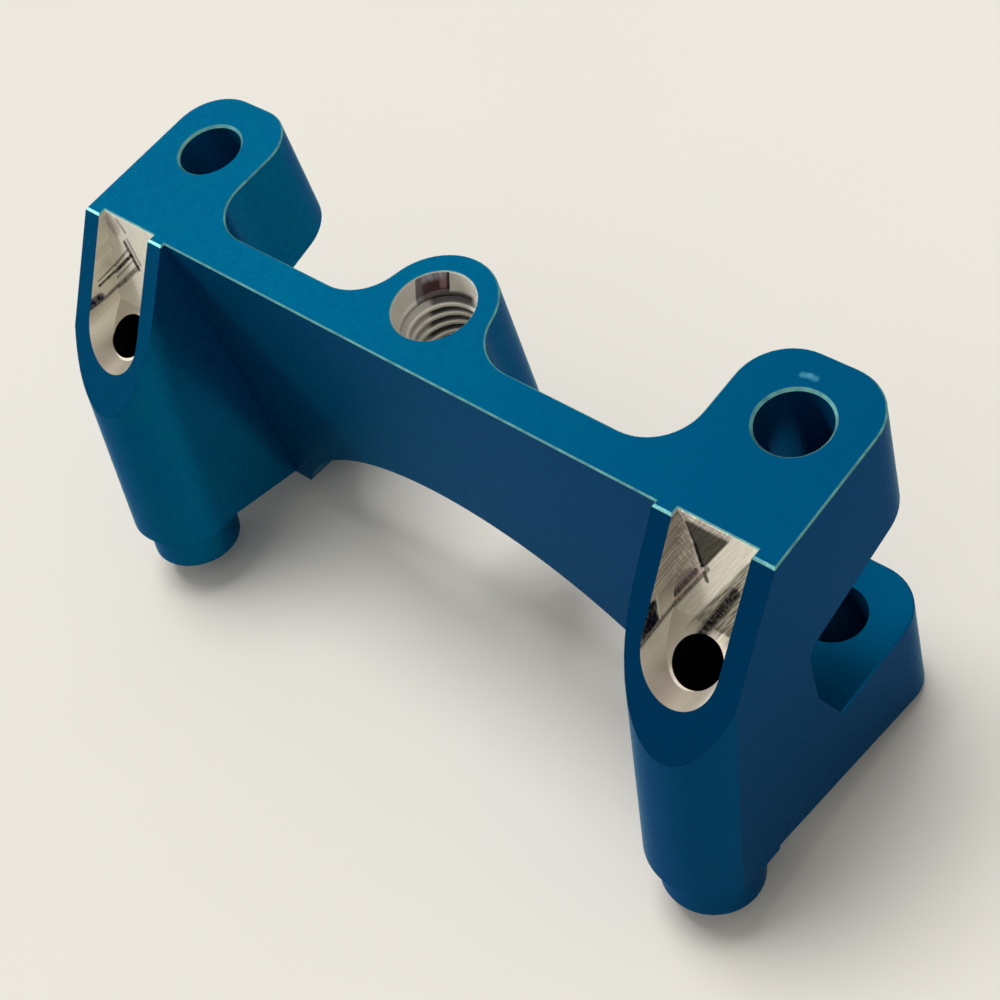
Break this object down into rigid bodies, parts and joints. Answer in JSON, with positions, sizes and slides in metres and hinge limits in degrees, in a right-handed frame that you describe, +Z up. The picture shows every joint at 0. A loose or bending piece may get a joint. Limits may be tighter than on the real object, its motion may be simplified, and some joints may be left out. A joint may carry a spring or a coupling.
{
  "type": "mounting bracket",
  "caption": "Anodised aluminium bracket milled from one billet, with a threaded centre boss, forked ears for pins, and slanted legs with bare screw seats and round spigots",
  "frame": {"origin": "Mouth of the centre thread, in the flat top face.", "axes": "+X along the bar to the right ear, +Y back towards the ears, +Z up out of the top face."},
  "size_m": [0.083, 0.035, 0.0433],
  "materials": {
    "anodised": "satin blue anodised, bare milled metal in the pockets and the centre thread"
  },
  "bodies": {
    "root": {"bracket": "anodised"}
  },
  "joints": []
}
